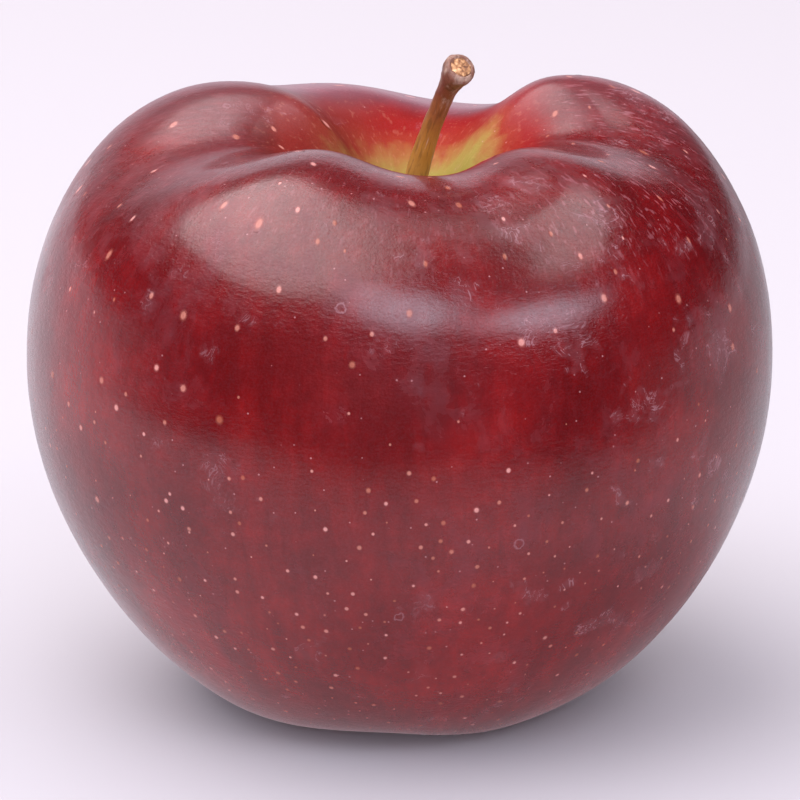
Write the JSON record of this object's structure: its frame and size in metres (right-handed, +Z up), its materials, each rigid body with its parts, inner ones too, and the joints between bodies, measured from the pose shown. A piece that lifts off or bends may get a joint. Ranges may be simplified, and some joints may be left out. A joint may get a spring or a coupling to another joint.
{
  "type": "red apple",
  "caption": "Whole ripe red apple on its lobed base, with its stalk in a deep cavity and dried sepals in the basin underneath.",
  "frame": {"origin": "on the table under the middle of the fruit's footprint", "axes": "+Z up along the growing axis; the stalk leans towards -Y and +X, the side it is mostly looked at from"},
  "size_m": [0.0802, 0.0792, 0.0715],
  "materials": {
    "apple_skin": "dark red skin with fine streaks and pale dots, glossy under a thin waxy bloom, yellow-green in the stalk cavity",
    "stalk_bark": "smooth young bark, olive green at the foot turning red-brown at the knob, with a pale tan scar at the end",
    "dry_sepal": "dry brown, slightly downy",
    "dry_stamen": "withered, dark brown"
  },
  "bodies": {
    "root": {"apple_fruit": "apple_skin", "apple_stalk": "stalk_bark", "sepal_1": "dry_sepal", "sepal_2": "dry_sepal", "sepal_3": "dry_sepal", "sepal_4": "dry_sepal", "sepal_5": "dry_sepal", "stamen_tuft": "dry_stamen"}
  },
  "joints": []
}
